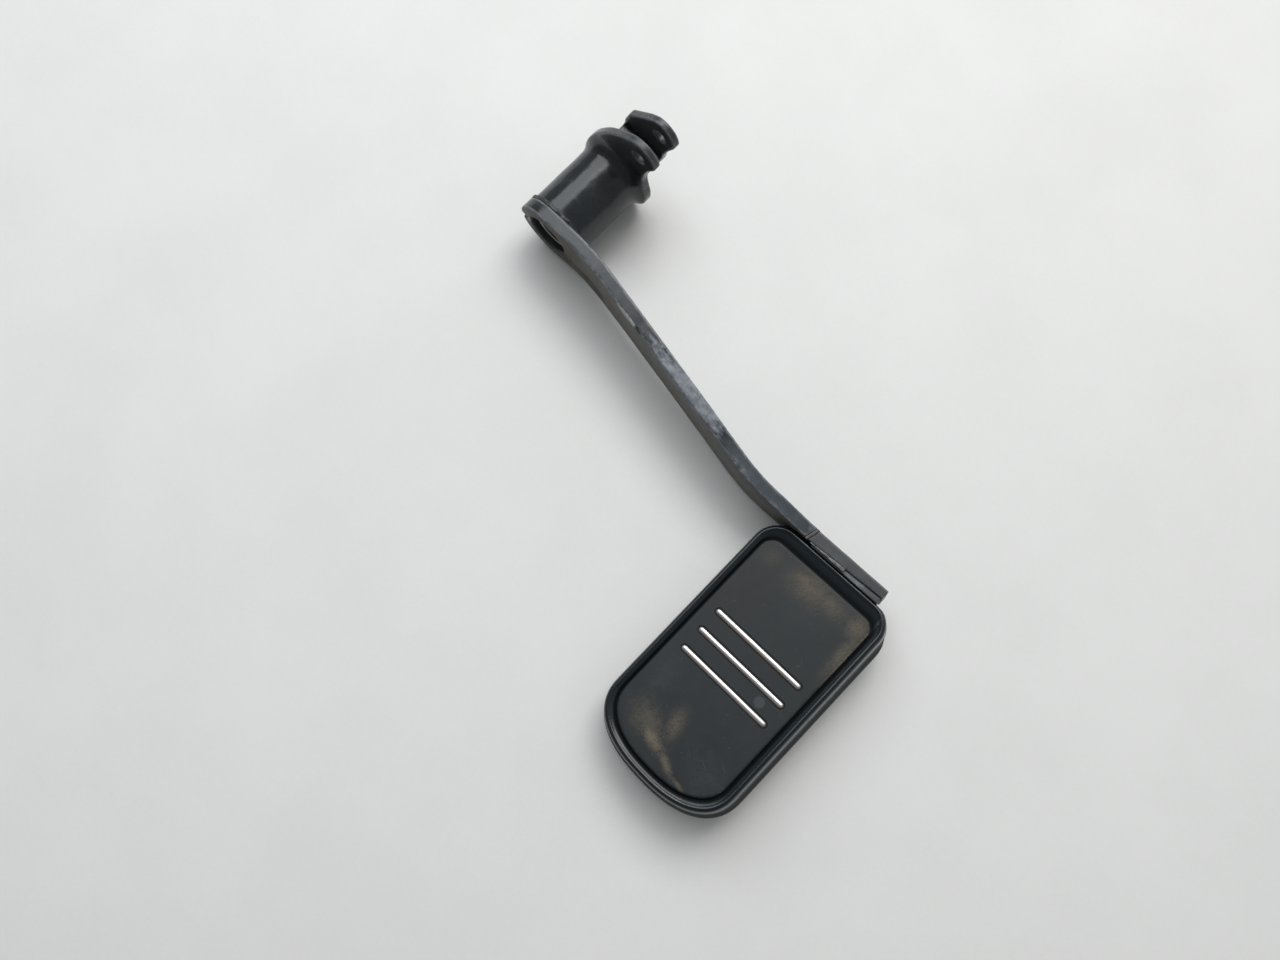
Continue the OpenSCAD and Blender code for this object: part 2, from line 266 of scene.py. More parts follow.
def rubber():
    def mid(a, b, t):
        return [(p[0] + (q[0] - p[0]) * t, p[1] + (q[1] - p[1]) * t) for p, q in zip(a, b)]

    def R(g):
        return outline(*RIM, g)

    def P(g):
        return outline(*PANEL, g)

    def L(g):
        return outline(*LIP, g)

    prof = [
        (L(-11.0), -13.4), (L(-11.0), -16.6), (L(-10.8), -17.5), (L(-10.2), -18.05), (L(-9.4), -18.2),
        (L(-6.0), -18.2), (L(-1.6), -18.2), (L(-0.8), -18.0), (L(-0.25), -17.5), (L(0.0), -16.7),
        (L(-0.1), -15.4), (L(-0.45), -14.2), (L(-0.95), -13.2),
        (mid(L(-1.4), R(2.5), 0.35), -12.3), (mid(L(-1.4), R(2.5), 0.65), -11.2), (mid(L(-1.4), R(2.5), 0.88), -9.8),
        (R(2.4), -8.2), (R(2.2), -6.4),
        (R(2.0), -4.7), (R(1.84), -3.2), (R(1.66), -2.1), (R(1.4), -1.25), (R(1.05), -0.62), (R(0.6), -0.18),
        (R(0.15), -0.02), (R(-0.3), -0.06), (R(-0.7), -0.24), (R(-1.0), -0.48),
        (mid(R(-1.2), P(0.5), 0.15), -0.62), (mid(R(-1.2), P(0.5), 0.38), -0.88), (mid(R(-1.2), P(0.5), 0.60), -1.25),
        (mid(R(-1.2), P(0.5), 0.80), -1.85), (mid(R(-1.2), P(0.5), 0.94), -2.45), (P(0.40), -2.60),
        (P(0.24), -2.30), (P(0.12), -1.7), (P(0.0), -1.15), (P(-0.22), -0.75), (P(-0.6), -0.54),
        (P(-1.2), -0.5), (P(-2.4), -0.5), (P(-4.0), -0.5),
    ]
    inner = P(-4.0)
    c0 = (-1.2, -2.0)
    for t in (0.1, 0.2, 0.3, 0.4, 0.5, 0.6, 0.7, 0.8, 0.9, 0.97):
        prof.append(([(p[0] + (c0[0] - p[0]) * t, p[1] + (c0[1] - p[1]) * t) for p in inner], -0.5))
    rings = []
    for pts, w in prof:
        ring = []
        for s, y in pts:
            a = noise.noise(Vector((s / 17.0, y / 17.0, w / 9.0 + 3.0)))
            b = noise.noise(Vector((s / 6.0, y / 6.0, w / 5.0 + 9.0)))
            lift = 0.10 * a + 0.03 * b if w > -4.0 else 0.0
            ring.append(pad_point(s, min(y, CUT_Y), min(w + lift, 0.35) if w > -4.0 else w))
        rings.append(ring)
    verts, faces = bridge(rings, closed_end=True)
    ob = new_object("pad_moulding", verts, faces)
    count = len(rings[0])
    first = len(prof) - 17                      # the ring where the centre panel's rounded edge starts
    set_float(ob.data, "panel", [min(max((i // count - first) / 3.0, 0.0), 1.0) for i in range(len(verts))])
    # how deep each ring lies in the groove, for the painted groove shade
    deep = {-6: 0.05, -5: 0.3, -4: 0.85, -3: 1.0, -2: 1.0, -1: 0.95, 0: 0.55}
    set_float(ob.data, "groove", [deep.get(i // count - first, 0.0) for i in range(len(verts))])
    bm = bmesh.new()
    bm.from_mesh(ob.data)
    bmesh.ops.remove_doubles(bm, verts=bm.verts, dist=2e-6)
    bmesh.ops.recalc_face_normals(bm, faces=bm.faces)
    bm.to_mesh(ob.data)
    bm.free()
    smooth_shade(ob, 50)
    set_vector(ob.data, "pad", row_to_pad(coords(ob.data)))
    return ob


def strips():
    verts, faces = [], []
    for k in (-1, 0, 1):
        rings = []
        for g, w in ((0.0, -1.9), (0.0, -0.45), (-0.015, -0.27), (-0.06, -0.10), (-0.14, 0.06), (-0.26, 0.20),
                     (-0.42, 0.32), (-0.62, 0.41), (-0.86, 0.47), (-1.08, 0.495), (-1.24, 0.5)):
            hl, hw = 21.9, 1.3 + g
            ring = []
            for j in range(17):
                a = math.radians(-90 + 180 * j / 16)
                ring.append((hl + hw * math.cos(a), hw * math.sin(a)))
            ring += [(hl - 2 * hl * j / 24, hw) for j in range(1, 24)]
            for j in range(17):
                a = math.radians(90 + 180 * j / 16)
                ring.append((-hl + hw * math.cos(a), hw * math.sin(a)))
            ring += [(-hl + 2 * hl * j / 24, -hw) for j in range(1, 24)]
            out = []
            for s, y in ring:
                out.append(pad_point(s - 1.0, y + k * 10.3, w))
            rings.append(out)
        v, f = bridge(rings, closed_start=True)
        n = len(rings[0])
        o = (len(rings) - 1) * n
        top = list(range(o, o + n))
        base = len(verts)
        verts += v
        faces += [tuple(base + i for i in t) for t in f]
        # the crown is closed along its middle line
        half = n // 2
        for j in range(half):
            a, b = top[(8 + j) % n], top[(8 + j + 1) % n]
            c, d = top[(8 - j - 1) % n], top[(8 - j) % n]
            quad = []
            for i in (a, b, c, d):
                if base + i not in quad:
                    quad.append(base + i)
            if len(quad) > 2:
                faces.append(tuple(quad))
    ob = new_object("strips_bright", verts, faces)
    bm = bmesh.new()
    bm.from_mesh(ob.data)
    bmesh.ops.recalc_face_normals(bm, faces=bm.faces)
    bm.to_mesh(ob.data)
    bm.free()
    smooth_shade(ob, 60)
    set_vector(ob.data, "pad", row_to_pad(coords(ob.data)))
    return ob


def bushing(name, y0, y1):
    ri, ro, c = 8.5, 9.88, 0.45
    prof = [(ri, y0 + c + 0.2), (ri + 0.12, y0 + 0.35), (ri + c, y0), (ro - 0.3, y0), (ro, y0 + 0.3), (ro, y1 - 0.3),
            (ro - 0.3, y1), (ri + c, y1), (ri + 0.12, y1 - 0.35), (ri, y1 - c - 0.2), (ri, (y0 + y1) / 2)]
    rings = []
    for r, y in prof:
        rings.append([Vector((r * math.cos(2 * math.pi * i / 96), y, r * math.sin(2 * math.pi * i / 96))) * MM
                      for i in range(96)])
    verts, faces = bridge(rings + [rings[0]])
    ob = new_object(name, verts, faces)
    bm = bmesh.new()
    bm.from_mesh(ob.data)
    bmesh.ops.remove_doubles(bm, verts=bm.verts, dist=1e-7)
    bmesh.ops.recalc_face_normals(bm, faces=bm.faces)
    bm.to_mesh(ob.data)
    bm.free()
    smooth_shade(ob, 30)
    at = coords(ob.data) / MM
    r = np.hypot(at[:, 0], at[:, 2])
    end = np.minimum(np.abs(at[:, 1] - y0), np.abs(at[:, 1] - y1))
    set_float(ob.data, "edge", np.where((r < ri + 0.5) & (end < 0.45), 1.0, 0.0))
    set_float(ob.data, "hollow", np.zeros(len(ob.data.vertices)))
    return ob


# ---------------------------------------------------------------- materials

class Nodes:
    """Short calls for building a node material."""

    def __init__(self, name):
        self.mat = bpy.data.materials.new(name)
        self.mat.use_nodes = True
        self.t = self.mat.node_tree
        self.t.nodes.clear()
        self.out = self.t.nodes.new("ShaderNodeOutputMaterial")
        self.bsdf = self.t.nodes.new("ShaderNodeBsdfPrincipled")
        self.t.links.new(self.bsdf.outputs[0], self.out.inputs["Surface"])
        tc = self.t.nodes.new("ShaderNodeTexCoord")
        self.mm = self.vmath("SCALE", tc.outputs["Object"], scale=1000.0)

    def link(self, a, b):
        self.t.links.new(a, b)

    def put(self, sock, v):
        if isinstance(v, bpy.types.NodeSocket):
            self.t.links.new(v, sock)
        else:
            sock.default_value = v

    def math(self, op, a, b=0.0, c=0.0, clamp=False):
        n = self.t.nodes.new("ShaderNodeMath")
        n.operation = op
        n.use_clamp = clamp
        for i, v in enumerate((a, b, c)):
            self.put(n.inputs[i], v)
        return n.outputs[0]

    def vmath(self, op, a, b=None, scale=None):
        n = self.t.nodes.new("ShaderNodeVectorMath")
        n.operation = op
        self.put(n.inputs[0], a)
        if b is not None:
            self.put(n.inputs[1], b)
        if scale is not None:
            self.put(n.inputs["Scale"], scale)
        return n.outputs["Value"] if op in ("LENGTH", "DOT_PRODUCT", "DISTANCE") else n.outputs[0]

    def noise(self, vec, size, detail=3.0, rough=0.55, distort=0.0, stretch=None, turn=None):
        """Noise whose grains are about size mm."""
        m = self.t.nodes.new("ShaderNodeMapping")
        m.vector_type = "POINT"
        self.put(m.inputs["Vector"], vec)
        st = stretch or (1.0, 1.0, 1.0)
        m.inputs["Scale"].default_value = tuple(1.0 / (size * k) for k in st)
        if turn:
            r = self.t.nodes.new("ShaderNodeMapping")
            self.put(r.inputs["Vector"], vec)
            r.inputs["Rotation"].default_value = turn
            self.link(r.outputs[0], m.inputs["Vector"])
        n = self.t.nodes.new("ShaderNodeTexNoise")
        n.inputs["Scale"].default_value = 1.0
        n.inputs["Detail"].default_value = detail
        n.inputs["Roughness"].default_value = rough
        n.inputs["Distortion"].default_value = distort
        self.link(m.outputs[0], n.inputs["Vector"])
        return n.outputs["Fac"]

    def cells(self, vec, size, feature="F1", out="Distance"):
        m = self.t.nodes.new("ShaderNodeMapping")
        self.put(m.inputs["Vector"], vec)
        m.inputs["Scale"].default_value = (1.0 / size,) * 3
        n = self.t.nodes.new("ShaderNodeTexVoronoi")
        n.feature = feature
        n.inputs["Scale"].default_value = 1.0
        self.link(m.outputs[0], n.inputs["Vector"])
        return n.outputs[out]

    def ramp(self, v, a, b, lo=0.0, hi=1.0, smooth=True):
        n = self.t.nodes.new("ShaderNodeMapRange")
        n.interpolation_type = "SMOOTHSTEP" if smooth else "LINEAR"
        self.put(n.inputs["Value"], v)
        for k, x in (("From Min", a), ("From Max", b), ("To Min", lo), ("To Max", hi)):
            n.inputs[k].default_value = x
        return n.outputs[0]

    def mix(self, f, a, b):
        n = self.t.nodes.new("ShaderNodeMix")
        n.data_type = "RGBA"
        self.put(n.inputs[0], f)
        for i, v in ((6, a), (7, b)):
            self.put(n.inputs[i], v if isinstance(v, bpy.types.NodeSocket) else (*v, 1.0)[:4])
        return n.outputs[2]

    def attr(self, name, vector=False):
        n = self.t.nodes.new("ShaderNodeAttribute")
        n.attribute_name = name
        return n.outputs["Vector"] if vector else n.outputs["Fac"]

    def spot(self, vec, centre, radii, turn=0.0, inner=0.0):
        """1 inside an ellipsoid, fading to 0 at its surface."""
        d = self.vmath("SUBTRACT", vec, centre)
        if turn:
            r = self.t.nodes.new("ShaderNodeVectorRotate")
            r.rotation_type = "Z_AXIS"
            self.link(d, r.inputs["Vector"])
            r.inputs["Angle"].default_value = -math.radians(turn)
            d = r.outputs[0]
        d = self.vmath("DIVIDE", d, radii)
        return self.ramp(self.vmath("LENGTH", d), inner, 1.0, 1.0, 0.0)

    def axis(self, vec, k):
        n = self.t.nodes.new("ShaderNodeSeparateXYZ")
        self.put(n.inputs[0], vec)
        return n.outputs[k]

    def add(self, *vs):
        out = vs[0]
        for v in vs[1:]:
            out = self.math("ADD", out, v)
        return out

    def mul(self, *vs):
        out = vs[0]
        for v in vs[1:]:
            out = self.math("MULTIPLY", out, v)
        return out

    def bump(self, height, mm, strength=1.0, normal=None):
        n = self.t.nodes.new("ShaderNodeBump")
        n.inputs["Distance"].default_value = mm * MM
        n.inputs["Strength"].default_value = strength
        self.put(n.inputs["Height"], height)
        if normal is not None:
            self.link(normal, n.inputs["Normal"])
        return n.outputs[0]

    def finish(self, color, rough, metal=None, normal=None, **fixed):
        self.put(self.bsdf.inputs["Base Color"], color)
        self.put(self.bsdf.inputs["Roughness"], rough)
        if metal is not None:
            self.put(self.bsdf.inputs["Metallic"], metal)
        if normal is not None:
            self.link(normal, self.bsdf.inputs["Normal"])
        for k, v in fixed.items():
            self.bsdf.inputs[k.replace("_", " ")].default_value = v
        return self.mat


def paint(name, scuffs=(), bare=(), worn=(), edge_amount=1.0, gloss=0.22, dust=1.0, rust=0.35, dark_brown_at=(),
          dust_and_sheen_films=(), side_bounce_amount=0.0, rubbed=0.50, marks=()):
    """Satin black paint on steel: film of dust, fine scratches, edges rubbed to grey; with painted floor bounce on
    outboard faces, painted sheen where given, and painted light in the pivot hole.
    """
    m = Nodes(name)
    p = m.mm
    blot = m.noise(p, 14.0, 4.0, 0.6)
    fine = m.noise(p, 1.1, 5.0, 0.65)
    film = m.noise(p, 5.0, 5.0, 0.62, 0.4)
    streak = m.noise(p, 0.35, 4.0, 0.6, stretch=(26.0, 2.0, 2.0))
    cross = m.noise(p, 0.30, 4.0, 0.6, stretch=(1.5, 2.0, 22.0), turn=(0.0, 0.5, 0.6))
    scratch = m.ramp(m.math("MAXIMUM", streak, cross), 0.70, 0.76)
    color = m.mix(m.ramp(blot, 0.3, 0.7), (0.0070, 0.0100, 0.0130), (0.0110, 0.0145, 0.0175))
    dusty = m.mul(m.ramp(film, 0.48, 0.82), 0.08 * dust)
    color = m.mix(dusty, color, (0.16, 0.15, 0.135))
    color = m.mix(m.mul(scratch, 0.12), color, (0.18, 0.185, 0.19))
    # even thin films that dull the paint: dust, and at some places painted sheen that lightens it
    dull = 0.0
    for centre, radii, turn, amount, tint in dust_and_sheen_films:
        f = m.mul(m.spot(p, centre, radii, turn, 0.35), m.ramp(m.add(m.mul(film, 0.7), m.mul(blot, 0.3)), 0.25, 0.70, 0.65, 1.0), amount)
        color = m.mix(f, color, tint)
        dull = m.add(dull, f)
    # painted bounce light: faces turned outboard (-Y) are made warm grey, mottled, as if lit by the pale floor;
    # side_bounce_amount sets how much
    low = m.ramp(m.attr("side"), 0.55, 0.90)
    color = m.mix(m.mul(low, m.ramp(film, 0.3, 0.7, 0.6, 1.0), side_bounce_amount), color, (0.135, 0.126, 0.108))
    hollow = m.ramp(m.attr("hollow"), 0.04, 0.30)
    dirt_and_dark_brown = m.mul(hollow, m.ramp(fine, 0.35, 0.6), 0.55)
    # dark brown at the dark_brown_at places: the lower part of the eye's outboard face and the arm's side beside it
    for centre, radii, turn, amount in dark_brown_at:
        g = m.mul(m.spot(p, centre, radii, turn, 0.55), m.ramp(m.add(m.mul(film, 0.6), m.mul(fine, 0.4)), 0.30, 0.55), amount)
        dirt_and_dark_brown = m.math("MAXIMUM", dirt_and_dark_brown, g)
    color = m.mix(dirt_and_dark_brown, color, (0.040, 0.034, 0.027))
    # rubbed edges
    e = m.attr("edge")
    e = m.ramp(m.add(e, m.mul(m.add(fine, -0.5), 0.55), m.mul(m.add(film, -0.5), 0.60)), 0.34, 0.80)
    wear = m.mul(e, rubbed * edge_amount)
    # patches where the paint is worn thin: pale, smooth inside, with ragged borders
    for centre, radii, turn, amount in worn:
        area = m.spot(p, centre, radii, turn)
        big = m.noise(p, 3.4, 6.0, 0.68, 0.3, stretch=(4.5, 1.0, 1.0), turn=(0.0, 0.0, 0.16))
        edge = m.add(m.mul(big, 0.66), m.mul(fine, 0.20), m.mul(film, 0.14), m.mul(area, 0.34))
        got = m.mul(m.ramp(edge, 0.60, 0.76), m.ramp(area, 0.02, 0.30), m.ramp(m.add(m.mul(fine, 0.5), m.mul(film, 0.5)), 0.25, 0.60, 0.62, 1.0), amount)
        wear = m.math("MAXIMUM", wear, got)
    for centre, radii, turn, size, lo, hi, amount in scuffs:
        area = m.spot(p, centre, radii, turn)
        grain = m.noise(p, size, 6.0, 0.7, 0.6)
        got = m.ramp(m.add(grain, m.mul(area, 0.30)), lo, hi, 0.0, amount)
        wear = m.math("MAXIMUM", wear, m.mul(got, m.ramp(area, 0.0, 0.25)))
    tone = m.mix(m.ramp(m.noise(p, 3.4, 4.0, 0.6), 0.35, 0.65), (0.135, 0.150, 0.175), (0.245, 0.262, 0.290))
    color = m.mix(wear, color, tone)
    metal = m.mul(wear, 0.30)
    for centre, radii, turn, amount in bare:
        area = m.spot(p, centre, radii, turn, 0.45)
        grain = m.ramp(m.add(fine, m.mul(area, 0.6)), 0.50, 0.78, 0.0, amount)
        got = m.mul(grain, m.ramp(area, 0.0, 0.3))
        color = m.mix(got, color, (0.46, 0.46, 0.46))
        metal = m.math("MAXIMUM", metal, m.mul(got, 0.8))
    for centre, radii, turn, amount in marks:
        got = m.mul(m.spot(p, centre, radii, turn, 0.55), amount)
        color = m.mix(got, color, (0.004, 0.004, 0.005))
    red = m.mul(m.ramp(m.noise(p, 3.0, 5.0, 0.65), 0.60, 0.72), m.ramp(hollow, 0.2, 0.8), rust)
    color = m.mix(red, color, (0.10, 0.052, 0.027))
    # painted light: the inside of the pivot hole made lighter grey, with a greasy mottle, where the lamps leave it in
    # deep shade
    r = m.vmath("LENGTH", m.vmath("MULTIPLY", p, (1.0, 0.0, 1.0)))
    bore_light = m.ramp(r, 11.0, 10.7)
    color = m.mix(m.mul(bore_light, m.ramp(film, 0.3, 0.7, 0.75, 1.0)), color, (0.040, 0.046, 0.048))
    rough = m.add(gloss - 0.06, m.mul(blot, 0.06), m.mul(film, 0.09), m.mul(dusty, 0.7), m.mul(wear, 0.22),
                  m.mul(dirt_and_dark_brown, 0.35), m.mul(dull, 0.8), m.mul(low, 0.30 * min(side_bounce_amount * 2.0, 1.0)), m.mul(bore_light, 0.2))
    n = m.bump(m.noise(p, 2.6, 3.0, 0.55), 0.016)
    n = m.bump(fine, 0.005, normal=n)
    n = m.bump(m.mul(scratch, -1.0), 0.008, normal=n)
    n = m.bump(m.mul(wear, m.add(1.0, fine)), -0.015, normal=n)
    return m.finish(color, rough, metal, n, Specular_IOR_Level=0.5)


def rubber_material():
    m = Nodes("rubber_dusty")
    p = m.attr("pad", True)                   # s, y, w in mm
    s, y, w = m.axis(p, 0), m.axis(p, 1), m.axis(p, 2)
    top = m.attr("panel")
    blot = m.noise(p, 16.0, 4.0, 0.6)
    fine = m.noise(p, 0.55, 5.0, 0.7)
    mid = m.noise(p, 3.2, 5.0, 0.62, 0.3)
    grain = m.noise(p, 0.7, 4.0, 0.62, stretch=(1.0, 3.6, 1.0), turn=(0.0, 0.0, 0.75))
    color = m.mix(m.ramp(blot, 0.3, 0.7), (0.0080, 0.0118, 0.0148), (0.0125, 0.0160, 0.0188))
    # the shaded mottled area behind the strips, and a grey haze over the outboard end
    shade = m.mul(m.spot(p, (-20.0, 24.0, 0.0), (13.0, 26.0, 8.0)), m.ramp(mid, 0.38, 0.62), 0.55)
    color = m.mix(shade, color, (0.0125, 0.0120, 0.0095))
    film = m.mul(m.ramp(mid, 0.42, 0.80), top, 0.040)
    color = m.mix(film, color, (0.19, 0.18, 0.165))
    haze = None
    for centre, radii, turn, amount in (
            ((17.0, -41.0, 0.0), (13.0, 12.0, 6.0), 0, 0.085),
            ((-22.0, -24.0, 0.0), (9.0, 20.0, 6.0), 8, 0.085),
            ((2.0, 40.0, 0.0), (26.0, 20.0, 6.0), 0, 0.060)):
        got = m.mul(m.spot(p, centre, radii, turn), m.ramp(m.add(m.mul(mid, 0.5), m.mul(grain, 0.5)), 0.30, 0.70), amount)
        haze = got if haze is None else m.math("MAXIMUM", haze, got)
    color = m.mix(m.mul(haze, top, 0.65), color, (0.26, 0.27, 0.27))
    # tan dust rubbed into the face
    tan = None
    for centre, radii, turn, inner, amount in (
            ((-2.0, 43.5, 0.0), (20.0, 11.5, 6.0), 6, 0.0, 0.62),
            ((-6.0, 44.5, 0.0), (9.0, 6.0, 6.0), 10, 0.0, 0.80),
            ((8.0, 44.0, 0.0), (16.0, 8.0, 6.0), 0, 0.0, 0.55),
            ((22.5, 44.0, 0.0), (9.0, 9.0, 6.0), 0, 0.0, 0.70),
            ((25.0, 33.0, 0.0), (5.0, 20.0, 6.0), 0, 0.0, 0.62),
            ((-23.0, 42.8, 0.0), (9.0, 9.0, 6.0), 0, 0.0, 0.26),
            ((-13.0, -42.0, 0.0), (17.0, 11.0, 6.0), -14, 0.0, 0.50),
            ((-7.0, -45.6, 0.0), (13.0, 5.2, 6.0), -12, 0.0, 1.0),
            ((3.5, -48.8, 0.0), (10.0, 3.2, 6.0), -25, 0.0, 0.80),
            ((12.5, -51.2, 0.0), (6.5, 1.8, 6.0), -8, 0.0, 0.60),
            ((-4.2, -35.0, 0.0), (6.5, 13.0, 6.0), 14, 0.0, 0.56)):
        area = m.spot(p, centre, radii, turn, inner)
        streaky = m.add(m.mul(mid, 0.25), m.mul(grain, 0.20), m.mul(fine, 0.55))
        got = m.mul(area, m.ramp(m.add(streaky, m.mul(area, 0.10)), 0.44, 0.64, 0.06, 1.0), amount)
        tan = got if tan is None else m.math("MAXIMUM", tan, got)
    # a fine light line along the panel's worn edge at the front
    lip = m.mul(m.ramp(m.math("ABSOLUTE", m.add(s, -27.0)), 0.9, 0.2), m.ramp(y, 12.0, 30.0), 0.75)
    tan = m.math("MAXIMUM", m.mul(tan, top), m.mul(lip, m.ramp(grain, 0.30, 0.55)))
    color = m.mix(m.mul(tan, 0.72), color, (0.215, 0.182, 0.130))
    # light specks and fine scratches
    speck = m.mul(m.ramp(m.cells(p, 2.6), 0.09, 0.045), m.ramp(m.noise(p, 7.0, 2.0, 0.5), 0.54, 0.64), top)
    color = m.mix(m.mul(speck, 0.30), color, (0.34, 0.34, 0.33))
    a = m.noise(p, 0.22, 3.0, 0.6, stretch=(46.0, 2.2, 3.0), turn=(0.0, 0.0, 0.55))
    b = m.noise(p, 0.22, 3.0, 0.6, stretch=(3.0, 52.0, 3.0), turn=(0.0, 0.0, 0.35))
    scratch = m.mul(m.ramp(m.math("MAXIMUM", a, b), 0.705, 0.75), top)
    color = m.mix(m.mul(scratch, 0.30), color, (0.24, 0.235, 0.23))
    # round pale mark
    d = m.vmath("LENGTH", m.vmath("MULTIPLY", m.vmath("SUBTRACT", p, (14.0, -5.0, 0.0)), (1.0, 1.0, 0.0)))
    mark = m.mul(m.ramp(d, 1.9, 2.7, 0.115, 0.0), top)
    color = m.mix(m.mul(mark, m.ramp(fine, 0.2, 0.6, 0.6, 1.0)), color, (0.30, 0.33, 0.36))
    # painted shadow: a near-black line around each metal strip where it meets the panel, also pressed in as a bump
    strip_shadow = None
    for k in (-1, 0, 1):
        px = m.math("MAXIMUM", m.math("SUBTRACT", m.math("ABSOLUTE", m.math("ADD", s, 1.0)), 21.9), 0.0)
        py = m.math("SUBTRACT", y, k * 10.3)
        r = m.math("SQRT", m.math("ADD", m.mul(px, px), m.mul(py, py)))
        g = m.ramp(r, 1.45, 2.0, 1.0, 0.0)
        strip_shadow = g if strip_shadow is None else m.math("MAXIMUM", strip_shadow, g)
    strip_shadow = m.mul(strip_shadow, top)
    color = m.mix(m.mul(strip_shadow, 0.80), color, (0.004, 0.004, 0.004))
    # the rim and the skirt keep less dust than the face, and shine more
    low = m.math("SUBTRACT", 1.0, top)
    color = m.mix(m.mul(low, m.ramp(mid, 0.70, 0.35, 0.45, 0.90)), color, (0.0070, 0.0115, 0.0150))
    # painted shade: the groove between the rim and the panel made near-black
    groove = m.attr("groove")
    color = m.mix(m.mul(groove, 0.85), color, (0.0030, 0.0034, 0.0036))
    rough = m.add(0.46, m.mul(mid, 0.14), m.mul(blot, 0.08), m.mul(tan, 0.35), m.mul(film, 1.0), m.mul(scratch, 0.1),
                  m.mul(low, m.ramp(w, -8.0, -3.5, 0.06, -0.36)), m.mul(groove, 0.45))
    n = m.bump(m.noise(p, 5.0, 3.0, 0.5), 0.035)
    n = m.bump(mid, 0.012, normal=n)
    n = m.bump(fine, 0.008, normal=n)
    n = m.bump(m.mul(strip_shadow, -1.0), 0.25, normal=n)
    n = m.bump(m.mul(scratch, -1.0), 0.02, normal=n)
    return m.finish(color, rough, None, n, Specular_IOR_Level=0.42)


def strip_material():
    m = Nodes("metal_bright_worn")
    p = m.attr("pad", True)
    brush = m.noise(p, 0.25, 2.0, 0.5, stretch=(120.0, 1.0, 4.0))
    blot = m.noise(p, 6.0, 3.0, 0.55, stretch=(3.0, 0.6, 1.0))
    pit = m.mul(m.ramp(m.cells(p, 1.5), 0.10, 0.05), m.ramp(m.noise(p, 5.0, 3.0, 0.5), 0.64, 0.72))
    color = m.mix(m.ramp(blot, 0.3, 0.75), (0.66, 0.645, 0.63), (0.52, 0.50, 0.485))
    color = m.mix(m.mul(pit, 0.5), color, (0.20, 0.16, 0.13))
    # the outboard flank is tarnished, and as painted shade it is also darker and less metallic
    v = m.axis(p, 1)
    v = m.math("SUBTRACT", v, m.mul(m.math("ROUND", m.mul(v, 1.0 / 10.3)), 10.3))
    tarnish_and_shade = m.mul(m.ramp(m.add(v, m.mul(m.add(blot, -0.5), 0.5)), 0.25, -0.55), 0.86)
    color = m.mix(tarnish_and_shade, color, (0.215, 0.192, 0.175))
    foot = m.ramp(m.axis(p, 2), 0.22, -0.42)
    stain = m.mul(foot, m.ramp(m.noise(p, 2.2, 4.0, 0.6, stretch=(2.5, 1.0, 1.0)), 0.15, 0.55, 0.55, 1.0))
    color = m.mix(m.mul(stain, 0.80), color, (0.115, 0.088, 0.075))
    tip = m.ramp(m.axis(p, 0), 19.6, 22.0)
    color = m.mix(m.mul(tip, 0.6), color, (0.17, 0.14, 0.12))
    rough = m.add(0.27, m.mul(brush, 0.03), m.mul(blot, 0.06), m.mul(pit, 0.15), m.mul(stain, 0.16), m.mul(tip, 0.15),
                  m.mul(tarnish_and_shade, 0.14))
    n = m.bump(m.noise(p, 4.0, 2.0, 0.5), 0.010)
    n = m.bump(m.mul(pit, -1.0), 0.008, normal=n)
    return m.finish(color, rough, m.math("SUBTRACT", 1.0, m.mul(tarnish_and_shade, 0.60)), n)


def bushing_material():
    m = Nodes("bushing_worn")
    p = m.mm
    turn = m.noise(p, 0.3, 3.0, 0.6, stretch=(30.0, 1.0, 30.0))
    blot = m.noise(p, 2.5, 5.0, 0.65)
    color = m.mix(m.ramp(blot, 0.35, 0.7), (0.20, 0.20, 0.195), (0.085, 0.080, 0.072))
    grease = m.ramp(m.noise(p, 4.0, 4.0, 0.6, 0.5), 0.45, 0.62)
    color = m.mix(m.mul(grease, 0.7), color, (0.022, 0.022, 0.021))
    lip = m.ramp(m.attr("edge"), 0.3, 0.9)
    color = m.mix(lip, color, (0.42, 0.41, 0.39))
    rough = m.add(0.30, m.mul(blot, 0.25), m.mul(turn, 0.1))
    n = m.bump(turn, 0.010)
    n = m.bump(blot, 0.015, normal=n)
    return m.finish(color, rough, m.ramp(grease, 0.0, 1.0, 0.9, 0.35), n)


def weld_material(name, light, dark=(0.014, 0.015, 0.017), brown=(0.045, 0.036, 0.028), rough_at=1.0):
    m = Nodes(name)
    p = m.mm
    blot = m.noise(p, 1.6, 5.0, 0.7)
    fine = m.noise(p, 0.4, 4.0, 0.7)
    color = m.mix(m.ramp(blot, 0.35, 0.65), dark, brown)
    e = m.ramp(m.add(m.attr("edge"), m.mul(fine, 0.4)), 0.45, 0.9)
    color = m.mix(m.mul(e, light), color, (0.25, 0.245, 0.24))
    rough = m.add(0.36, m.mul(blot, 0.2), m.mul(e, -0.08))
    n = m.bump(blot, 0.06 * rough_at)
    n = m.bump(fine, 0.02 * rough_at, normal=n)
    return m.finish(color, rough, m.mul(e, 0.7 * light), n)


def floor_material():
    m = Nodes("pale_floor")
    p = m.mm
    a = m.noise(p, 60.0, 4.0, 0.55)
    b = m.noise(p, 1.5, 4.0, 0.6)
    color = m.mix(m.ramp(m.add(m.mul(a, 0.7), m.mul(b, 0.3)), 0.3, 0.7), (0.80, 0.80, 0.785), (0.84, 0.84, 0.825))
    n = m.bump(b, 0.03)
    return m.finish(color, m.add(0.6, m.mul(b, 0.15)), None, n, Specular_IOR_Level=0.3)


# ---------------------------------------------------------------- pieces

def place(ob, node, mat):
    ob.data.materials.clear()
    ob.data.materials.append(mat)
    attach(ob, "root")
    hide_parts(node)
    return ob


